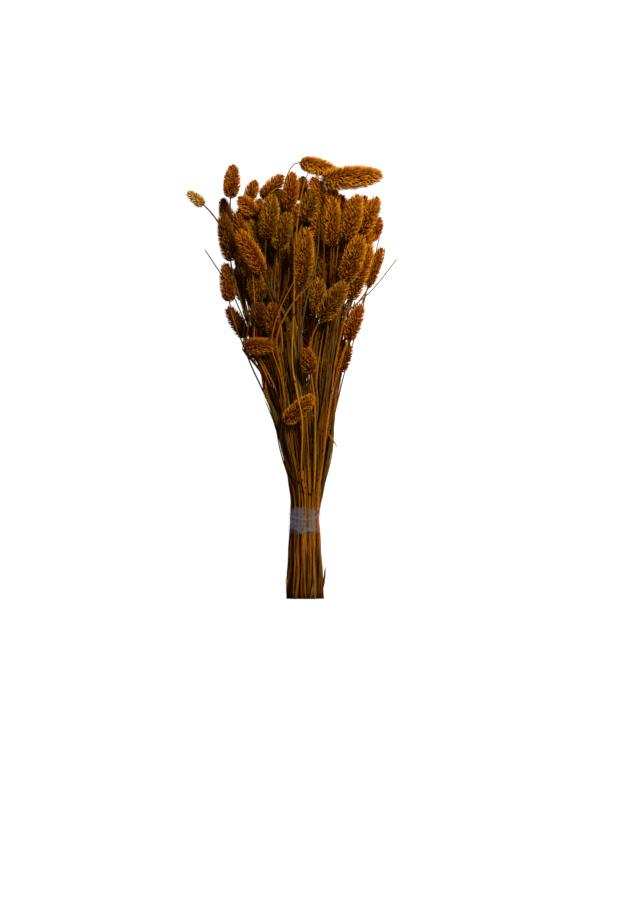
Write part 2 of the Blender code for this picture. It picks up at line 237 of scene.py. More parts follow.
def rings_of(name):
    """Centres and radii of a solid's rings of corners, from the cut end to the tip.

    The first ring is the corners at the cut end, and each next ring is the corners joined to it.
    """
    mesh = frame["nodes"][name].data
    corners = np.empty(len(mesh.vertices) * 3)
    mesh.vertices.foreach_get("co", corners)
    triangles = np.empty(len(mesh.loops), int)
    mesh.loops.foreach_get("vertex_index", triangles)
    corners = corners.reshape(-1, 3) / MM
    _, first, same = np.unique(
        np.round(corners * 1e3), axis=0, return_index=True, return_inverse=True
    )
    corners = corners[first]
    triangles = same.reshape(-1)[triangles].reshape(-1, 3)
    edges = np.concatenate([triangles[:, [0, 1]], triangles[:, [1, 2]], triangles[:, [2, 0]]])
    edges = np.concatenate([edges, edges[:, ::-1]])
    ring = np.full(len(corners), -1)
    ring[corners[:, 1] < corners[:, 1].min() + CUT_END] = 0
    count = 1
    while (ring < 0).any():
        onward = edges[(ring[edges[:, 0]] >= 0) & (ring[edges[:, 1]] < 0), 1]
        ring[onward] = count
        count += 1
    centres = np.array([corners[ring == k].mean(axis=0) for k in range(count)])
    radii = [np.linalg.norm(corners[ring == k] - centres[k], axis=1).max() for k in range(count)]
    return centres, np.array(radii)


def length_along(line):
    return np.concatenate([[0.0], np.cumsum(np.linalg.norm(np.diff(line, axis=0), axis=1))])


def smooth_line(points):
    """A fine line through the points and its length so far: cubic pieces whose slope at a point is
    the mean of the slopes on its two sides, weighted to the nearer side."""
    points = np.asarray(points, float)
    gaps = np.linalg.norm(np.diff(points, axis=0), axis=1)
    slopes = np.diff(points, axis=0) / gaps[:, None]
    tangents = np.empty_like(points)
    tangents[0], tangents[-1] = slopes[0], slopes[-1]
    before, after = gaps[:-1, None], gaps[1:, None]
    tangents[1:-1] = (before * slopes[1:] + after * slopes[:-1]) / (before + after)
    t = np.linspace(0.0, 1.0, 17)[None, :-1, None]
    start, end = points[:-1, None], points[1:, None]
    pull = tangents[:-1, None] * gaps[:, None, None]
    land = tangents[1:, None] * gaps[:, None, None]
    line = (2 * t**3 - 3 * t**2 + 1) * start + (t**3 - 2 * t**2 + t) * pull
    line = line + (3 * t**2 - 2 * t**3) * end + (t**3 - t**2) * land
    line = np.concatenate([line.reshape(-1, 3), points[-1:]])
    return line, length_along(line)


def at(line, length, wanted):
    """Points of the line at the wanted lengths."""
    return np.stack([np.interp(wanted, length, line[:, k]) for k in range(3)], axis=-1)


def directions(line):
    """Unit directions at each point of a line: onward, sideways and up. Sideways is level."""
    onward = np.gradient(line, axis=0)
    onward /= np.linalg.norm(onward, axis=1, keepdims=True)
    side = np.cross(onward, (0.0, 0.0, 1.0))
    side /= np.linalg.norm(side, axis=1, keepdims=True)
    return onward, side, np.cross(side, onward)


# -------------------- places in the bunch
# Places are in millimetres: across from the middle of the tape, along from the cut ends, and
# height above the table.
TAPE_LOW, TAPE_HIGH = (np.array(corner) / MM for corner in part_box("tape_band"))
WAIST_X, _, WAIST_Z = (TAPE_LOW + TAPE_HIGH) / 2
ORIGIN = np.array([WAIST_X, cad_low[1] / MM, 0.0])
TAPE_PAST_WAIST = 5.5  # from the narrowest place to the tape's upper edge
WAIST = TAPE_HIGH[1] - ORIGIN[1] - TAPE_PAST_WAIST
WAIST_HALF_WIDTH = 13.0
ALONG = np.arange(0.0, 445.0, 5.0)  # where the way of each stem is noted
WAIST_ROW = np.searchsorted(ALONG, WAIST)

# Below the tape the loose straws spread a little wider than the solids: so far along, the widening
# and the shift to the side
FLARE = (
    (0, 10, 20, 36, 49, 60, 69, 79, 88, 99, 110),
    (1.06, 1.10, 1.10, 1.16, 1.24, 1.26, 1.22, 1.15, 1.10, 1.02, 1.0),
    (-0.6, -0.7, -0.5, -0.5, -1.2, -1.0, -0.8, -0.6, -0.4, 0.0, 0.0),
)


def flared(corners):
    """Corners in millimetres, spread sideways below the tape, and none of them under the table.

    Across from the middle of the tape = across * widening + shift.
    """
    along = corners[:, 1] - ORIGIN[1]
    across = (corners[:, 0] - WAIST_X) * np.interp(along, FLARE[0], FLARE[1])
    sideways = WAIST_X + across + np.interp(along, FLARE[0], FLARE[2])
    return np.stack([sideways, corners[:, 1], np.maximum(corners[:, 2], 0.0)], axis=1)


# -------------------- forms
class Form:
    """Corners, faces and the per-corner numbers of one piece, gathered before its mesh is made."""

    def __init__(self):
        self.corners, self.faces, self.reach, self.tone = [], [], [], []
        self.count = 0

    def add(self, corners, faces, reach, tone, stuff):
        """Adds corners in millimetres and faces of one stuff, which is the place of their material
        in the piece's list, and returns the number of the first corner."""
        corners = np.asarray(corners).reshape(-1, 3)
        first = self.count
        self.corners.append(corners)
        self.faces.append((np.asarray(faces) + first, stuff))
        self.reach.append(np.broadcast_to(reach, (len(corners),)))
        self.tone.append(np.broadcast_to(tone, (len(corners),)))
        self.count += len(corners)
        return first

    def piece(self, name, slot, materials, *replaced, smooth=True):
        """Makes the piece, which stands in for the replaced nodes if there are any."""
        mesh = bpy.data.meshes.new(name)
        corners = flared(np.concatenate(self.corners)) * MM
        sizes = np.concatenate([np.full(len(faces), faces.shape[1]) for faces, _ in self.faces])
        loops = np.concatenate([faces.ravel() for faces, _ in self.faces])
        mesh.vertices.add(len(corners))
        mesh.vertices.foreach_set("co", corners.ravel())
        mesh.loops.add(len(loops))
        mesh.loops.foreach_set("vertex_index", loops)
        mesh.polygons.add(len(sizes))
        mesh.polygons.foreach_set("loop_start", np.concatenate([[0], np.cumsum(sizes)[:-1]]))
        mesh.polygons.foreach_set("loop_total", sizes)
        stuff = np.concatenate([np.full(len(faces), kind) for faces, kind in self.faces])
        mesh.polygons.foreach_set("material_index", stuff)
        mesh.polygons.foreach_set("use_smooth", np.full(len(sizes), smooth))
        for material in materials:
            mesh.materials.append(material)
        for label, values in (("reach", self.reach), ("tone", self.tone)):
            layer = mesh.attributes.new(label, "FLOAT", "POINT")
            layer.data.foreach_set("value", np.concatenate(values).astype(np.float32))
        mesh.update(calc_edges=True)
        obj = bpy.data.objects.new(name, mesh)
        bpy.context.scene.collection.objects.link(obj)
        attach(obj, "root")
        if replaced:
            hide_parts(*replaced)
        return obj


def grid_faces(rows, columns):
    """Four-cornered faces between the rows of a grid whose columns close on themselves."""
    row, column = np.meshgrid(np.arange(rows - 1), np.arange(columns), indexing="ij")
    here, beside = row * columns + column, row * columns + (column + 1) % columns
    return np.stack([here, beside, beside + columns, here + columns], axis=-1).reshape(-1, 4)


BORE_DEPTH = 2.5
BORE_SHARE = 0.5  # of the straw's radius


def tube(form, line, radii, sides, reach, tone, stuff=0, flat=1.0, twist=0.0, pith=None):
    """A closed tube: an oval of so many sides carried along the line.

    Corner = line + radius * (cos a * sideways + flat * sin a * up), with a from 0 to a full turn,
    and sideways and up turned about the line by the twist. Both ends are closed by a fan of faces.
    Where the pith's stuff is given, the first end is a cut with a short bore in it.
    """
    onward, side, up = directions(line)
    turn = np.broadcast_to(twist, (len(line),))[:, None]
    side, up = np.cos(turn) * side + np.sin(turn) * up, np.cos(turn) * up - np.sin(turn) * side
    angle = np.arange(sides) * 2 * np.pi / sides
    cosine, sine = np.cos(angle)[None, :, None], np.sin(angle)[None, :, None]
    around = cosine * side[:, None] + flat * sine * up[:, None]
    radii = np.asarray(radii)
    corners = line[:, None] + radii[:, None, None] * around
    rows = len(line)
    wide = np.broadcast_to(reach, (rows,))
    first = form.add(corners, grid_faces(rows, sides), np.repeat(wide, sides), tone, stuff)
    last = first + (rows - 1) * sides + np.arange(sides)
    end = form.add(line[-1:], np.zeros((0, 3), int), wide[-1], tone, stuff)
    form.faces.append((np.stack([np.full(sides, end), last, np.roll(last, -1)], axis=1), stuff))
    rim = first + np.arange(sides)
    start = line[0]
    if pith is not None:
        inside = radii[0] * BORE_SHARE * around[0]
        bottom = start + BORE_DEPTH * onward[0]
        wall = np.concatenate([start + inside, bottom + inside])
        bore = form.add(wall, np.zeros((0, 3), int), 0.5, tone, pith)
        lip, deep = bore + np.arange(sides), bore + sides + np.arange(sides)
        for outer, inner in ((rim, lip), (lip, deep)):
            ring = np.stack([outer, inner, np.roll(inner, -1), np.roll(outer, -1)], axis=1)
            form.faces.append((ring, pith))
        rim, start, stuff = deep, bottom, pith
    centre = form.add(start[None], np.zeros((0, 3), int), wide[0], tone, stuff)
    form.faces.append((np.stack([np.full(sides, centre), np.roll(rim, -1), rim], axis=1), stuff))


# One husk of a seed head, a keeled and pointed boat with a flat inner side. Each corner's share of
# the length, of the half width to the side, and of the keel's height outward.
HUSK = np.array([
    (0.0, 0.0, 0.0),
    (0.40, -1.0, -0.1), (0.42, 0.0, 1.0), (0.40, 1.0, -0.1),
    (0.72, -0.62, 0.0), (0.74, 0.0, 0.9), (0.72, 0.62, 0.0),
    (1.0, 0.0, 0.35),
])
HUSK_FACES = np.array(
    [[0, 2, 1], [0, 3, 2], [0, 1, 3]]
    + [[1, 2, 5], [1, 5, 4], [2, 3, 6], [2, 6, 5], [3, 1, 4], [3, 4, 6]]
    + [[4, 5, 7], [5, 6, 7], [6, 4, 7]]
)
HUSK_SPACING = 2.0  # between the tips of neighbouring husks
ROW_SPACING = 0.87  # between rows of tips, for each spacing within a row
FEWEST_HUSKS, MOST_HUSKS = 50, 1100
HUSK_HALF_WIDTH = 0.78
HUSK_KEEL = 0.7
SHORTEST_HUSK, LONGEST_HUSK = 3.6, 9.0
GOLDEN_ANGLE = 2.399963
# How far a husk leans out from the line of its head, in radians, from the bottom to the top
HUSK_LEAN = ((0.0, 0.1, 0.45, 0.85, 1.0), (1.5, 1.2, 0.98, 0.68, 0.15))
TIPS_PAST_OUTLINE = 1.3
CORE_SHARE = 0.72  # of the head's radius
CORE_STEPS = 10
HUSK_STUFF, CORE_STUFF, PITH_STUFF = 1, 2, 3  # places in a stalk's list of materials


def seed_head(form, line, outline, rng, tone, spacing):
    """A dense spike of overlapping husks round a core.

    Husk k sits a golden angle on from the last one, and the tips are spread evenly over the
    surface of the outline. Each husk points forward and outward, less outward towards the top, and
    its root is deep in the head.
    """
    length = length_along(line)
    share = length / length[-1]
    radius = np.interp(share, *outline)
    surface = np.concatenate([[0.0], np.cumsum((radius[1:] + radius[:-1]) / 2 * np.diff(length))])
    number = 2 * np.pi * surface[-1] / (spacing**2 * ROW_SPACING)
    number = int(np.clip(number, FEWEST_HUSKS, MOST_HUSKS))
    spread = (np.arange(number) + 0.5) / number
    place = np.interp(spread, surface / surface[-1], share)
    place = np.clip(place + rng.normal(0.0, 0.006, number), 0.0, 1.0)
    angle = np.arange(number) * GOLDEN_ANGLE + rng.normal(0.0, 0.14, number)
    onward, side, up = (at(way, share, place) for way in directions(line))
    outward = np.cos(angle)[:, None] * side + np.sin(angle)[:, None] * up
    across = np.cross(onward, outward)
    lean = np.interp(place, *HUSK_LEAN) + rng.normal(0.0, 0.12, number)
    along = np.cos(lean)[:, None] * onward + np.sin(lean)[:, None] * outward
    along += rng.normal(0.0, 0.13, number)[:, None] * across
    along /= np.linalg.norm(along, axis=1, keepdims=True)
    lifted = outward - np.sum(outward * along, axis=1, keepdims=True) * along
    lifted -= 0.001 * onward  # so that a husk that points straight out still has a back
    lifted /= np.linalg.norm(lifted, axis=1, keepdims=True)
    wide = np.cross(along, lifted)
    tip_out = np.interp(place, share, radius) * rng.uniform(0.93, 1.14, number)
    tip_out = tip_out + TIPS_PAST_OUTLINE
    size = tip_out * CORE_SHARE / np.maximum(np.sin(lean), 0.35)
    size = np.clip(size, SHORTEST_HUSK, LONGEST_HUSK)
    tips = at(line, share, place) + tip_out[:, None] * outward
    roots = tips - size[:, None] * along
    broad = HUSK_HALF_WIDTH * spacing / HUSK_SPACING * rng.uniform(0.8, 1.15, number)
    shape = HUSK[None] * np.stack([size, broad, np.full(number, HUSK_KEEL)], axis=1)[:, None]
    corners = (
        roots[:, None]
        + shape[:, :, 0:1] * along[:, None]
        + shape[:, :, 1:2] * wide[:, None]
        + shape[:, :, 2:3] * lifted[:, None]
    )
    each = len(HUSK)
    faces = (HUSK_FACES[None] + each * np.arange(number)[:, None, None]).reshape(-1, 3)
    own_tone = np.clip(tone + rng.normal(0.0, 0.15, number), 0.0, 1.0)
    own_reach = np.tile(HUSK[:, 0], number)
    form.add(corners, faces, own_reach, np.repeat(own_tone, each), HUSK_STUFF)
    inner = np.linspace(0.0, 0.95, CORE_STEPS)
    inner_radius = np.interp(inner, share, radius) * CORE_SHARE
    inner_radius[[0, -1]] *= 0.3
    # The core takes the husks' colour near their roots, dark with painted shade.
    tube(form, at(line, share, inner), inner_radius, 8, 0.3, 0.45, CORE_STUFF)


STRAW_STEP = 7.0
JOINT_GAPS = (60.0, 150.0)  # between one joint and the next
MOST_JOINTS = 6
LAST_JOINT = 25.0  # the least from a joint to the tip
JOINT_SWELLING = 0.22
JOINT_HALF_LENGTH = 1.6
JOINT_STEPS = (-2.0, -0.7, 0.7, 2.0)


def straw(form, line, thick, thin, rng, tone, sides=7, stuff=0, pith=None):
    """A straw along a line: an even taper, with a low swelling and a darker band at each joint.

    Radius = taper + swelling * exp(-(distance from a joint / half length)^2).
    """
    length = length_along(line)
    steps = np.arange(0.0, length[-1], STRAW_STEP)
    joints = np.cumsum(rng.uniform(*JOINT_GAPS, MOST_JOINTS))
    joints = joints[joints < length[-1] - LAST_JOINT]
    by_joints = [joints + step for step in JOINT_STEPS]
    wanted = np.unique(np.concatenate([steps, length[-1:], *by_joints]))
    wanted = wanted[(wanted >= 0.0) & (wanted <= length[-1])]
    radius = np.interp(wanted, (0.0, length[-1]), (thick, thin))
    reach = 0.3 + 0.6 * wanted / length[-1]
    for joint in joints:
        away = wanted - joint
        radius = radius + JOINT_SWELLING * np.exp(-((away / JOINT_HALF_LENGTH) ** 2))
        reach = np.where(np.abs(away) < 1.0, 0.1, reach)
    tube(form, at(line, length, wanted), radius, sides, reach, tone, stuff, pith=pith)


# -------------------- stalks, long straws, long blades
# The share of each dye among bare straws, by where they pass the tape: from its left edge, -1, to
# its right edge, 1
STRAW_SIDES = (-1.0, -0.3, 0.3, 1.0)
STRAW_SHARES = {
    "grass_brown": (0.6, 0.4, 0.3, 0.15),
    "grass_olive": (0.1, 0.25, 0.25, 0.05),
    "grass_amber": (0.1, 0.2, 0.25, 0.4),
    "grass_orange": (0.2, 0.15, 0.2, 0.4),
}


def straw_look(line, rng):
    """The dye of a bare straw and its tone, by where it passes the tape: darker on the left, partly
    by the mix of dyes and partly by painted shade away from the key light on the right.
    """
    side = np.interp(WAIST + ORIGIN[1], line[:, 1], line[:, 0]) - WAIST_X
    side = side / WAIST_HALF_WIDTH
    shares = [np.interp(side, STRAW_SIDES, odds) for odds in STRAW_SHARES.values()]
    chosen = np.searchsorted(np.cumsum(shares) / sum(shares), rng.random())
    # The lean with the side is painted shade away from the key light; the random part is the
    # straw's own tone.
    tone = np.clip(0.4 + 0.12 * side + rng.normal(0.0, 0.21), 0.02, 0.98)
    return list(STRAW_SHARES)[int(chosen)], float(tone)


# The radius of a seed head along it, both as shares
HEAD_OUTLINE = (
    (0.0, 0.05, 0.12, 0.25, 0.42, 0.58, 0.74, 0.86, 0.95, 1.0),
    (0.25, 0.6, 0.82, 0.96, 1.0, 0.96, 0.83, 0.63, 0.4, 0.15),
)
# Heads that dried paler and more golden than the rest of their dye bath: the dye they match, and
# how much farther along a head would have to be to be as pale
GOLDEN = {"stalk_41_grown": "grass_amber"}
GOLDEN_LIFT = 170.0
# The dye and tone of two stems that lie in plain sight
STEM_LOOKS = {"stalk_07_grown": ("grass_amber", 0.75), "stalk_41_grown": ("grass_brown", 0.15)}
lines = {}
heads = []


# A stem sways a little about its line: a long and a short wave, and how far it sways across, along
# and up
LONG_WAVE, SHORT_WAVE = 27.0, 11.0
SWAY = (0.55, 0.0, 0.3)


def finish_stalk(name, slot, stem, head, widest, rng, thick, spacing, *replaced):
    """One stalk: a straw with a hollow cut end, and the seed head at its top.

    The heads are paler on the right and at the top of the bunch than on the left and lower down:
    painted light towards the key light and painted shade away from it.
    Sway = (sin(along / long wave) + 0.5 sin(along / short wave)) * half a sine from foot to head.
    """
    dye, tone = STEM_LOOKS.get(name) or straw_look(stem, rng)
    form = Form()
    thick = thick * rng.uniform(0.8, 1.08)
    phase = rng.uniform(0.0, 2 * np.pi, 2)
    sway = np.sin(stem[:, 1] / LONG_WAVE + phase[0])
    sway = sway + 0.5 * np.sin(stem[:, 1] / SHORT_WAVE + phase[1])
    ease = np.sin(np.pi * np.linspace(0.12, 1.0, len(stem)))
    stem = stem + (sway * ease)[:, None] * SWAY
    whole = np.concatenate([stem, head[1:4]])
    straw(form, whole, thick, 0.62 * thick, rng, tone, pith=PITH_STUFF)
    across, along = (head[HEAD_STEPS // 2] - ORIGIN)[:2]
    if name in GOLDEN:
        along += GOLDEN_LIFT
    # Painted light and shade: paler towards the top right, where the key light falls; the random
    # part is each head's own tone.
    head_tone_with_painted_light = 0.5 + 0.003 * across + 0.0028 * (along - 320.0) + rng.normal(0.0, 0.05)
    outline = (HEAD_OUTLINE[0], np.array(HEAD_OUTLINE[1]) * widest)
    seed_head(form, head, outline, rng, float(np.clip(head_tone_with_painted_light, 0.12, 0.9)), spacing)
    husks = HUSKS[GOLDEN.get(name, slot)]
    form.piece(name, slot, [STRAW[dye], husks, husks, PITH], *replaced, smooth=False)


# The stem of stalk 07 rises in front of the others, nearly straight, and breaks over at the top
BROKEN_STEM = (
    (-4.0, 125, 45), (-4.2, 182, 67), (-9.5, 208, 67), (-12, 226, 66), (-11.3, 292, 66),
    (-10, 350, 70), (-4.5, 400, 71), (2.5, 425, 70), (3.8, 427.5, 70), (6, 427, 69),
)
# Stems at the left edge that are pressed in against the bunch: so far along, and how far each is
PRESSED_ALONG = (95.0, 140.0, 180.0, 225.0, 246.0, 265.0)
PRESSED_IN = {
    "stalk_33": (0.0, 4.0, 7.0, 8.0, 4.0, 0.0),
    "stalk_36": (0.0, 1.0, 3.0, 3.0, 1.0, 0.0),
}
STEM_RADIUS, THIN_STEM_RADIUS, EXTRA_STEM_RADIUS = 1.25, 0.95, 1.05  # at the cut end
STALK_SEED, EXTRA_SEED = 100, 500
for index in range(1, STALK_COUNT + 1):
    name = f"stalk_{index:02d}"
    centres, radii = rings_of(name)
    thick = STEM_RADIUS
    if name in PRESSED_IN:
        along = centres[:, 1] - ORIGIN[1]
        centres[:, 0] += np.interp(along, PRESSED_ALONG, PRESSED_IN[name])
    if name == "stalk_07":
        thick = THIN_STEM_RADIUS
        seen = np.array(BROKEN_STEM) + ORIGIN
        low = centres[centres[:, 1] < seen[0, 1] - 15.0]
        centres = np.concatenate([low, seen, centres[-1 - HEAD_RINGS:]])
    line, length = smooth_line(centres)
    base = length[np.argmin(np.linalg.norm(line - centres[-1 - HEAD_RINGS], axis=1))]
    lines[name] = at(line, length, np.linspace(0.0, base, 90))
    head = at(line, length, np.linspace(base, length[-1], HEAD_STEPS))
    widest = radii[-HEAD_RINGS:].max()
    heads.append((head, widest))
    rng = np.random.default_rng(STALK_SEED + index)
    finish_stalk(
        name + "_grown", RECORD_SLOTS[name], lines[name], head, widest, rng, thick, HUSK_SPACING,
        name,
    )

BLADE_STEPS = 80
INNER_BLADE_SHARE = 0.6  # of the solid's width, for the blades that lie among the stems
BLADE_THICKNESS = 0.14  # of its width
for name, slot in RECORD_SLOTS.items():
    if not name.startswith(("straw", "leaf")):
        continue
    rng = np.random.default_rng(len(name) * 7)
    centres, radii = rings_of(name)
    line, length = smooth_line(centres)
    line = at(line, length, np.linspace(0.0, length[-1], BLADE_STEPS))
    lines[name] = line
    form = Form()
    if name.startswith("straw"):
        straw(form, line, 1.0, 0.55, rng, 0.35)
    else:
        so_far = length_along(centres)
        share = np.linspace(0.0, 1.0, BLADE_STEPS)
        widths = np.interp(share, so_far / so_far[-1], radii)
        narrow = 1.0 if name.endswith("edge") else INNER_BLADE_SHARE
        reach = np.linspace(0.2, 0.9, BLADE_STEPS)
        tube(form, line, narrow * widths, 8, reach, 0.4, flat=BLADE_THICKNESS)
    form.piece(name + "_grown", slot, [STRAW[slot]], name)


# -------------------- lanes between the stems
# A lane is where a stem lies, sideways and up, at each step along the bunch. More stems and straws
# run in lanes mixed from three neighbours at the waist, or from two at the rim.
lanes = np.array([
    [np.interp(ALONG + ORIGIN[1], np.maximum.accumulate(line[:, 1]), line[:, k]) for k in (0, 2)]
    for line in lines.values()
])
NEIGHBOUR = 1.25  # the farthest neighbour, for the usual distance to the nearest one
waist_places = lanes[:, :, WAIST_ROW]
gaps = np.linalg.norm(waist_places[:, None] - waist_places[None], axis=2)
near = gaps < NEIGHBOUR * np.median(np.where(gaps > 0, gaps, np.inf).min(axis=1))
triples = np.array([
    (a, b, c)
    for a in range(len(gaps)) for b in np.flatnonzero(near[a]) if b > a
    for c in np.flatnonzero(near[a] & near[b]) if c > b
])
used = np.zeros(len(triples))
STEMS_HALF_SIZE = (12.2, 11.0)  # sideways and up, at the waist
RIM_SHARE = 0.74  # a stem farther out than this is on the rim
from_middle = (waist_places - (WAIST_X, WAIST_Z)) / STEMS_HALF_SIZE
rim = np.linalg.norm(from_middle, axis=1) > RIM_SHARE
rim_pairs = np.array([
    (a, b) for a in np.flatnonzero(rim) for b in np.flatnonzero(near[a] & rim) if b > a
])


def lane_between(triple, weights):
    """Sideways place and height along the bunch, part way between three neighbouring stems."""
    return np.tensordot(weights, lanes[triple], axes=1)


def outward(lane):
    """The way from the middle of the waist to where a lane passes it."""
    way = lane[:, WAIST_ROW] - (WAIST_X, WAIST_Z)
    return way / np.linalg.norm(way)


# How much of its wander a line has, from the cut ends past the tape to the open stems
WANDER = ((0.0, 50.0, WAIST, 150.0), (0.8, 0.8, 0.35, 1.1))
LOWEST_LINE = 1.4


def line_from_lane(lane, end, wander, rng):
    """A line from the cut ends to so far along that follows a lane with a slow wander.

    Wander = a long sine + 0.6 of a short one, with its own lengths and phases sideways and up.
    """
    phase = rng.uniform(0.0, 2 * np.pi, 4)
    waves = np.array([
        np.sin(ALONG / 37.0 + phase[0]) + 0.6 * np.sin(ALONG / 14.0 + phase[1]),
        np.sin(ALONG / 43.0 + phase[2]) + 0.6 * np.sin(ALONG / 17.0 + phase[3]),
    ])
    lane = lane + waves * wander * np.interp(ALONG, *WANDER)
    along = np.linspace(0.0, end, 60)
    sideways, height = (np.interp(along, ALONG, row) for row in lane)
    return np.stack([sideways, along + ORIGIN[1], np.maximum(height, LOWEST_LINE)], axis=1)


# -------------------- more stalks
USED_LANE = 40.0  # how much farther off a lane counts for each stem it already has


def extra_stalk(number, base, tip, widest, slot, spacing):
    """One more stalk: its stem follows the nearest lane and eases over to the base of its head."""
    rng = np.random.default_rng(EXTRA_SEED + number)
    base, tip = np.array(base, float) + ORIGIN, np.array(tip, float) + ORIGIN
    weights = np.full(3, 1 / 3)
    here = np.searchsorted(ALONG, base[1] - ORIGIN[1])
    reached = np.array([lane_between(triple, weights)[:, here] for triple in triples])
    off = base[[0, 2]] - reached
    best = int(np.argmin(np.linalg.norm(off, axis=1) + USED_LANE * used))
    used[best] += 1
    ease = np.clip((ALONG - WAIST) / (base[1] - ORIGIN[1] - WAIST), 0.0, 1.0) ** 1.6
    lane = lane_between(triples[best], weights) + off[best][:, None] * ease
    stem = line_from_lane(lane, base[1] - ORIGIN[1] - 6.0, 0.5, rng)
    path, length = smooth_line(np.concatenate([stem[::6], [base, tip]]))
    turn = length[np.argmin(np.linalg.norm(path - base, axis=1))]
    head = at(path, length, np.linspace(turn, length[-1], HEAD_STEPS))
    stem = at(path, length, np.linspace(0.0, turn, 80))
    heads.append((head, widest))
    name = f"more_stalk_{number:02d}"
    finish_stalk(name, slot, stem, head, widest, rng, EXTRA_STEM_RADIUS, spacing)


# Stalks that stand mostly behind others: across and along at the head's base and at its tip, the
# head's width, its height, and the dye
BEHIND = (
    (65, 359, 75, 384, 14, 30, "grass_orange"),
    (52, 366, 60, 406, 14, 38, "grass_amber"),
    (-24, 307, -23, 345, 12, 36, "grass_brown"),
    (-65, 369, -69, 388, 10, 46, "grass_orange"),
    (-64, 337, -71, 375, 14, 28, "grass_brown"),
    (-15, 222, -16, 244, 7, 32, "grass_brown"),
    (-33, 229, -40, 239, 9, 32, "grass_orange"),
    (-13, 372, -6, 397, 10, 48, "grass_amber"),
    (11, 359, 13, 394, 12, 44, "grass_orange"),
    (24, 310, 23, 337, 12, 36, "grass_brown"),
    (-21, 281, -24, 301, 10, 36, "grass_brown"),
    (36, 228, 45, 257, 10, 34, "grass_orange"),
    (17, 398, 6, 423, 14, 55, "grass_orange"),
    (29, 392, 24, 414, 14, 50, "grass_orange"),
    (44, 384, 47, 402, 13, 46, "grass_orange"),
    (-41, 352, -38, 384, 14, 38, "grass_amber"),
    (2, 330, 4, 366, 14, 40, "grass_brown"),
    (-8, 318, -10, 350, 13, 40, "grass_amber"),
    (44, 300, 50, 338, 14, 36, "grass_brown"),
    (31, 300, 33, 338, 14, 34, "grass_amber"),
    (-46, 300, -52, 336, 13, 34, "grass_brown"),
    (21, 328, 24, 366, 14, 34, "grass_brown"),
    (-21, 322, -24, 362, 14, 36, "grass_brown"),
    (2, 284, 3, 321, 12, 38, "grass_brown"),
    (-28, 286, -31, 324, 13, 36, "grass_orange"),
    (20, 258, 24, 294, 12, 36, "grass_brown"),
    (9, 340, 10, 374, 12, 36, "grass_brown"),
    (16, 304, 17, 340, 12, 36, "grass_brown"),
)
for number, (base_x, base_y, tip_x, tip_y, width, height, slot) in enumerate(BEHIND, 1):
    base, tip = (base_x, base_y, height - 1), (tip_x, tip_y, height + 2)
    extra_stalk(number, base, tip, width / 2, slot, HUSK_SPACING)

# The part of the bunch that seed heads fill when seen from above: along, then left and right edge
FILLED = (
    (224, 239, 254, 270, 285, 300, 316, 331, 347, 362, 377, 392, 400),
    (-41, -50, -55, -54, -52, -55, -57, -60, -78, -84, -86, -70, -64),
    (37, 39, 39, 38, 37, 44, 53, 57, 58, 66, 68, 72, 72),
)
DEEP_LENGTH, DEEP_RADIUS, DEEP_STALKS = 40.0, 8.0, 56
DEEP_OVERLAP = 7.5  # how deep one head may lie in the next
DEEP_HUSK_SPACING = 3.1
HIDES_SHARE = 0.6  # of its radius, within which a head hides what lies below it
LEAST_CLOSED = 3.0  # cells


def near_segment(points, start, end):
    """Distance from each point to the straight line between start and end."""
    way = end - start
    share = np.clip((points - start) @ way / (way @ way), 0.0, 1.0)
    return np.linalg.norm(points - start - share[:, None] * way, axis=1)


def deep_heads():
    """Places for seed heads low in the bunch: each in turn where it closes most of what is still
    open when seen from above, and keeps clear of the heads that are there."""
    grid = np.meshgrid(np.arange(-88.0, 76.0, 2.5), np.arange(224.0, 400.0, 2.5), indexing="ij")
    cells = np.stack(grid, axis=-1).reshape(-1, 2)
    left, right = (np.interp(cells[:, 1], FILLED[0], FILLED[k]) for k in (1, 2))
    cells = cells[(cells[:, 0] > left + 3.0) & (cells[:, 0] < right - 3.0)]
    still_open = np.ones(len(cells), bool)
    for head, widest in heads:
        start, end = (head[4] - ORIGIN)[:2], (head[-4] - ORIGIN)[:2]
        still_open &= near_segment(cells, start, end) > HIDES_SHARE * widest
    heights = (9.0, 14.0, 19.0, 24.0, 29.0)
    grid = np.meshgrid(np.arange(-72.0, 66.0, 5.0), np.arange(224.0, 366.0, 6.0), heights)
    bases = np.stack(grid, axis=-1).reshape(-1, 3)
    lean = 1.15 * bases[:, 0] / (bases[:, 1] - WAIST)
    aims = np.stack([lean, np.ones(len(bases)), np.full(len(bases), 0.04)], axis=1)
    aims *= DEEP_LENGTH / np.linalg.norm(aims, axis=1, keepdims=True)
    probes = bases[:, None] + aims[:, None] * np.linspace(0.1, 0.9, 5)[:, None] + ORIGIN
    room = np.full(len(bases), 99.0)
    for head, widest in heads:
        for k in range(5):
            room = np.minimum(room, near_segment(probes[:, k], head[0], head[-1]) - widest)
    chosen = []
    for _ in range(DEEP_STALKS):
        gain = np.zeros(len(bases))
        for k in np.flatnonzero(room > DEEP_RADIUS - DEEP_OVERLAP):
            closed = near_segment(cells[still_open], bases[k, :2], bases[k, :2] + aims[k, :2])
            gain[k] = np.sum(closed < DEEP_RADIUS * HIDES_SHARE)
        gain[gain > 0] += 0.03 * bases[gain > 0, 2]
        best = int(np.argmax(gain))
        if gain[best] < LEAST_CLOSED:
            break
        start, end = bases[best], bases[best] + aims[best]
        chosen.append((start, end))
        still_open &= near_segment(cells, start[:2], end[:2]) > DEEP_RADIUS * HIDES_SHARE
        for k in range(5):
            reached = near_segment(probes[:, k], start + ORIGIN, end + ORIGIN)
            room = np.minimum(room, reached - DEEP_RADIUS)
    return chosen


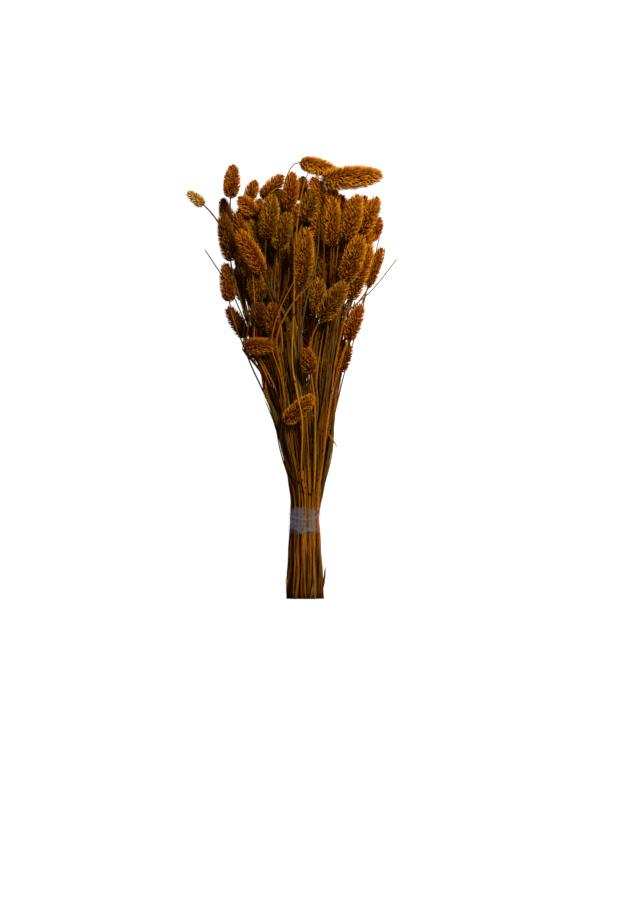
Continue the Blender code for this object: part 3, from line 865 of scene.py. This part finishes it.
for spare, (base, tip) in enumerate(deep_heads()):
    slot = ("grass_brown", "grass_orange", "grass_amber")[spare % 3]
    number = len(BEHIND) + 1 + spare
    extra_stalk(number, base, tip, DEEP_RADIUS, slot, DEEP_HUSK_SPACING)


# -------------------- broken straws and small blades
STRAW_KINDS = list(STRAW)
EVEN_MIX = (2.0, 2.0, 2.0)  # of three lanes: the larger, the nearer to equal shares
# How far the outermost straws stand off the lanes at the rim, from the cut ends up
SKIN_LIFT = ((0.0, 60.0, WAIST, 150.0, 260.0), (1.9, 1.5, 1.2, 1.4, 0.8))


def bare_straw(form, line, thick, thin, rng, look):
    """A thin straw in a form whose materials are those of every dye and then the pith."""
    dye, tone = look
    stuff, pith = STRAW_KINDS.index(dye), len(STRAW_KINDS)
    straw(form, line, thick, thin, rng, tone, sides=5, stuff=stuff, pith=pith)


def loose_straws(name, slot, number, seed, ends, thick, skin=False):
    """Bare straws between the stalks, broken off here and there, as one mesh. With skin they lie
    round the outside of the stems."""
    rng = np.random.default_rng(seed)
    form = Form()
    for _ in range(number):
        if skin:
            pair, share = rim_pairs[rng.integers(len(rim_pairs))], rng.random()
            lane = share * lanes[pair[0]] + (1.0 - share) * lanes[pair[1]]
            lift = np.interp(ALONG, *SKIN_LIFT)
            lane = lane + outward(lane)[:, None] * lift * rng.uniform(0.3, 1.15)
        else:
            triple = triples[rng.integers(len(triples))]
            lane = lane_between(triple, rng.dirichlet(EVEN_MIX))
        line = line_from_lane(lane, rng.uniform(*ends), 1.7 if skin else 1.1, rng)
        radius = rng.uniform(*thick)
        bare_straw(form, line, radius, radius * 0.6, rng, straw_look(line, rng))
    form.piece(name, slot, [*STRAW.values(), PITH])


def loose_blades(name, slot, number, seed, lengths, half_widths, roots=(0.0, 0.0), curl=0.0):
    """Dry leaf blades: a flat band that swells from its root, twists a little and runs to a point.

    A blade with curl leaves the stems, sideways and up, by about the curl times the square of the
    share of its length.
    """
    rng = np.random.default_rng(seed)
    form = Form()
    high_triples = triples[waist_places[triples, 1].mean(axis=1) > WAIST_Z - 3.0]
    for _ in range(number):
        triple = high_triples[rng.integers(len(high_triples))]
        lane = lane_between(triple, rng.dirichlet(EVEN_MIX))
        root = rng.uniform(*roots)
        line = line_from_lane(lane, root + rng.uniform(*lengths), 1.1, rng)
        line = line[line[:, 1] - ORIGIN[1] >= root]
        share = np.linspace(0.0, 1.0, len(line))
        away = (rng.normal(0.0, curl), 0.0, abs(rng.normal(0.0, 0.6 * curl)))
        line = line + (share**2)[:, None] * away
        widest = rng.uniform(*half_widths)
        width = widest * np.interp(share, (0.0, 0.25, 0.6, 0.9, 1.0), (0.45, 0.5, 1.0, 0.55, 0.08))
        twist = rng.uniform(-0.5, 0.5) + rng.uniform(-1.2, 1.2) * share
        tone = straw_look(line, rng)[1]
        tube(form, line, width, 6, 0.15 + 0.8 * share, tone, flat=0.12, twist=twist)
    form.piece(name, slot, [STRAW[slot]])


EDGE_STRAWS = 16
# The outermost stems on the right, and how strongly the edge straws are drawn to each
OUTER_STEMS = {"straw_right_long": 1.2, "stalk_18": 1.0, "stalk_19": 0.8, "stalk_17": 0.6}


def edge_straws():
    """Straws that fill the right edge of the bunch, part way between its outermost stems."""
    rng = np.random.default_rng(21)
    form = Form()
    order = list(lines)
    outer = [order.index(name) for name in OUTER_STEMS]
    for _ in range(EDGE_STRAWS):
        lane = np.tensordot(rng.dirichlet(list(OUTER_STEMS.values())), lanes[outer], axes=1)
        line = line_from_lane(lane, rng.uniform(220.0, 300.0), 0.6, rng)
        look = straw_look(line, rng)
        bare_straw(form, line, rng.uniform(0.7, 1.1), 0.6, rng, look)
    form.piece("edge_straws_right", "grass_orange", [*STRAW.values(), PITH])


edge_straws()
# Name, slot, how many, seed, how far along they end, and their radius at the cut end
loose_straws("loose_straws_orange", "grass_orange", 44, 11, (200.0, 360.0), (0.75, 1.1))
loose_straws("loose_straws_brown", "grass_brown", 44, 12, (200.0, 370.0), (0.7, 1.1))
loose_straws("loose_straws_amber", "grass_amber", 44, 13, (200.0, 360.0), (0.75, 1.1))
loose_straws("skin_straws_brown", "grass_brown", 46, 16, (170.0, 350.0), (0.55, 1.05), skin=True)
loose_straws("skin_straws_amber", "grass_amber", 46, 17, (130.0, 330.0), (0.45, 1.0), skin=True)
# Name, slot, how many, seed, length, half width, and for those that peel off how far along the
# root is and the curl
loose_blades("loose_blades_olive", "leaf_olive", 22, 14, (180.0, 330.0), (0.9, 1.8))
loose_blades("loose_blades_orange", "leaf_orange", 16, 15, (150.0, 310.0), (0.9, 1.8))
loose_blades(
    "peeling_blades_olive", "leaf_olive", 30, 18, (35.0, 85.0), (0.8, 1.7), (100.0, 240.0), 6.0
)
loose_blades(
    "peeling_blades_orange", "leaf_orange", 26, 19, (25.0, 70.0), (0.5, 1.3), (98.0, 240.0), 6.0
)


# Scraps: a torn leaf sheath on the left, the right and the front of the foot, and a curled twig on
# the right of the stems. Across, along and height at points from root to tip, then the half width
# and the dye
SCRAPS = {
    "scrap_foot_left": (((-15.4, 10, 20), (-16.8, 15, 21), (-17.2, 22, 22)), 0.9, "grass_buff"),
    "scrap_foot_right": (((15.8, 8, 18), (17.4, 20, 20), (17.6, 33, 22)), 1.1, "leaf_olive"),
    "scrap_foot_front": (((5.5, 1, 33), (7.0, 10, 35), (8.5, 21, 36)), 1.7, "grass_olive"),
    "curled_twig": (
        ((22, 166, 44), (26, 161, 48), (29.5, 156, 48), (31.8, 151.5, 45)), 0.9, "leaf_orange",
    ),
}
SCRAP_STEPS = 14


def scraps():
    """Each scrap is a flattened, slightly twisted tube, widest a third of the way along."""
    for name, (points, half_width, slot) in SCRAPS.items():
        line, length = smooth_line(np.array(points, float) + ORIGIN)
        line = at(line, length, np.linspace(0.0, length[-1], SCRAP_STEPS))
        share = np.linspace(0.0, 1.0, SCRAP_STEPS)
        width = half_width * np.interp(share, (0.0, 0.3, 0.8, 1.0), (0.6, 1.0, 0.8, 0.2))
        form = Form()
        tube(form, line, width, 6, 0.4 + 0.3 * share, 0.75, flat=0.3, twist=0.8 * share)
        form.piece(name, slot, [STRAW[slot]])


scraps()

# -------------------- the tape
TAPE_WIDTH = 25.0
TAPE_LAPS = 2.35
TAPE_START = np.radians(200.0)
TAPE_DRIFT = -2.0  # along, for each lap
FILM = 0.06
LAP_GAP = 0.16  # from one lap to the next
STEM_CLEARANCE = 2.3  # from the middle lines of the outer stems to the film
TURN_STEPS, WIDTH_STEPS, STATIONS = 260, 30, 16
CREASE_ALONG, CREASE_HALF_WIDTH = 79.5, 0.55


def taut_outline(along, angles):
    """How far a taut film stands from the waist's middle at each angle.

    With h(a) how far the stems reach in direction a, the distance at b is the least of all
    h(a) / cos(a - b).
    """
    places = np.array([[np.interp(along, ALONG, row) for row in lane] for lane in lanes])
    places -= (WAIST_X, WAIST_Z)
    ways = np.stack([np.cos(angles), np.sin(angles)])
    reach = (places @ ways).max(axis=0) + STEM_CLEARANCE
    between = np.cos(angles[:, None] - angles[None])
    return np.where(between > 0.2, reach[:, None] / np.maximum(between, 0.2), np.inf).min(axis=0)


def film_tape():
    """Clear film wound round the stems, each lap a little lower and over the last one.

    Point = middle + (taut outline + lap thickness + wrinkles) * (cos turn, sin turn).
    """
    turn = np.linspace(0.0, TAPE_LAPS * 2 * np.pi, TURN_STEPS) + TAPE_START
    share = np.linspace(0.0, 1.0, WIDTH_STEPS)
    lap = (turn - turn[0]) / (2 * np.pi)
    low = WAIST + TAPE_PAST_WAIST - TAPE_WIDTH + TAPE_DRIFT * lap
    along = low[:, None] + share[None] * TAPE_WIDTH
    stations = np.linspace(along.min(), along.max(), STATIONS)
    angles = np.linspace(0.0, 2 * np.pi, 361)
    # the outline at each point of the film, read from a table of stations by whole degrees
    table = np.array([taut_outline(station, angles) for station in stations])
    row = (along - stations[0]) / (stations[1] - stations[0])
    row = np.clip(row, 0.0, STATIONS - 1.001)
    column = np.broadcast_to(np.degrees(turn[:, None]) % 360.0, along.shape)
    r0, c0 = row.astype(int), column.astype(int)
    fr, fc = row - r0, column - c0
    out = (
        table[r0, c0] * (1 - fr) * (1 - fc) + table[r0 + 1, c0] * fr * (1 - fc)
        + table[r0, c0 + 1] * (1 - fr) * fc + table[r0 + 1, c0 + 1] * fr * fc
    )
    sideways = np.cos(turn)[:, None] * out
    top = np.sin(turn)[:, None] > 0.0
    ripple = np.sin(turn[:, None] * 23.0 + along * 0.9)
    ripple = ripple * np.sin(along * 0.55 + turn[:, None] * 5.0)
    fold = CREASE_ALONG + 5.0 * (sideways / WAIST_HALF_WIDTH) ** 2
    crease = np.where(top, np.exp(-(((along - fold) / CREASE_HALF_WIDTH) ** 2)), 0.0)
    out = out + 0.2 + LAP_GAP * lap[:, None] + 0.05 * ripple + 0.35 * crease
    edge = 0.7 * np.sin(along * 1.1) + 0.5 * np.sin(sideways * 1.7 + 1.0)

    def reflection_patch(left, right, low_edge, high_edge):
        """One area of painted reflection, where the film mirrors the bright room, and nothing
        outside it.
        """
        inside = np.minimum(sideways - left, right - sideways) + edge
        lengthways = np.minimum(along - low_edge, high_edge - along)
        inside = np.minimum(inside, lengthways + 0.6 * edge)
        # The painted reflection is half as strong on the underside, away from the lights.
        return np.clip(inside / 1.2, 0.0, 1.0) * np.where(top, 1.0, 0.5)

    last_lap = np.interp(sideways, (-7.0, 0.0, 2.0, 9.0), (63.5, 63.5, 67.0, 68.0))
    cool = reflection_patch(-12.6, -0.5, 67.5 - 0.3 * sideways, 99.0)
    cool = np.maximum(cool, reflection_patch(-7.0, 8.5, last_lap, 72.0))
    warm = reflection_patch(2.5, 9.5, 67.0, 90.0)
    # Painted reflection: the grey areas stand for the bright room mirrored in the film; the faint
    # base cover and ripple are the film's own haze, and the crease is a pale fold line.
    cover_with_painted_reflection = 0.025 + 0.12 * cool + 0.1 * warm + 0.2 * crease + 0.02 * ripple
    tint = warm / (warm + cool + 0.05)

    def surface(radius):
        return np.stack([
            WAIST_X + np.cos(turn)[:, None] * radius,
            along + ORIGIN[1],
            WAIST_Z + np.sin(turn)[:, None] * radius,
        ], axis=-1)

    both = np.concatenate([surface(out), surface(out - FILM)[:, ::-1]], axis=1)
    rows, columns = both.shape[:2]
    tint, cover_with_painted_reflection = (
        np.concatenate([values, values[:, ::-1]], axis=1).ravel() for values in (tint, cover_with_painted_reflection)
    )
    form = Form()
    form.add(both, grid_faces(rows, columns), tint, np.clip(cover_with_painted_reflection, 0.015, 0.9), 0)
    half = columns // 2
    for end, flip in ((0, False), (rows - 1, True)):
        front = end * columns + np.arange(half)
        back = end * columns + columns - 1 - np.arange(half)
        cap = np.stack([front[:-1], back[:-1], back[1:], front[1:]], axis=1)
        form.faces.append((cap[:, ::-1] if flip else cap, 0))
    form.piece("film_tape", "tape_clear", [TAPE], "tape_band")


film_tape()


# -------------------- table, light and camera
def plain_floor():
    """A flat, matt, pale table top of opal acrylic, softly lit through from below."""
    mesh = bpy.data.meshes.new("table_top")
    half = 6.0
    corners = [(-half, -half, 0), (half, -half, 0), (half, half, 0), (-half, half, 0)]
    mesh.from_pydata(corners, [], [(0, 1, 2, 3)])
    made, tree = new_material("opal_acrylic_table")
    surface = node(
        tree, "ShaderNodeBsdfPrincipled",
        {
            "Base Color": linear("#808080"), "Roughness": 0.9, "Specular IOR Level": 0.1,
            "Emission Color": linear("#ffffff"), "Emission Strength": 1.0,
        },
    )
    node(tree, "ShaderNodeOutputMaterial", Surface=surface.outputs["BSDF"])
    mesh.materials.append(made)
    obj = bpy.data.objects.new("table_top", mesh)
    bpy.context.scene.collection.objects.link(obj)
    obj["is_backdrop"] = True


def soft_light(name, place, target, size, power):
    light = bpy.data.lights.new(name, "AREA")
    light.shape = "DISK"
    light.size = size
    light.energy = power
    obj = bpy.data.objects.new(name, light)
    obj.location = place
    aim = np.array(target) - np.array(place)
    obj.rotation_euler = Vector(aim).to_track_quat("-Z", "Y").to_euler()
    bpy.context.scene.collection.objects.link(obj)


def camera():
    """A long lens straight above the bunch, with the head end at the top of the frame. The middle
    of the frame is beside the stems, between the tape and the heads."""
    lens, sensor, frame_height = 200.0, 36.0, 0.905
    middle_x, middle_y, middle_height = 0.0284, -0.0745, 0.04
    data = bpy.data.cameras.new("camera")
    data.lens = lens
    data.sensor_width = sensor
    data.clip_end = 50.0
    obj = bpy.data.objects.new("camera", data)
    obj.location = (middle_x, middle_y, middle_height + frame_height * lens / sensor)
    bpy.context.scene.collection.objects.link(obj)
    bpy.context.scene.camera = obj


WORLD_STRENGTH = 0.22  # what fills the shade, far below the key light
plain_floor()
soft_light("key", (1.07, 1.5, 1.86), (0.0, 0.05, 0.0), size=0.7, power=125.0)
world = bpy.data.worlds.new("studio")
world.use_nodes = True
world.node_tree.nodes["Background"].inputs["Color"].default_value = (1.0, 1.0, 1.0, 1.0)
world.node_tree.nodes["Background"].inputs["Strength"].default_value = WORLD_STRENGTH
bpy.context.scene.world = world
bpy.context.scene.view_settings.view_transform = "Standard"
camera()

low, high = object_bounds()
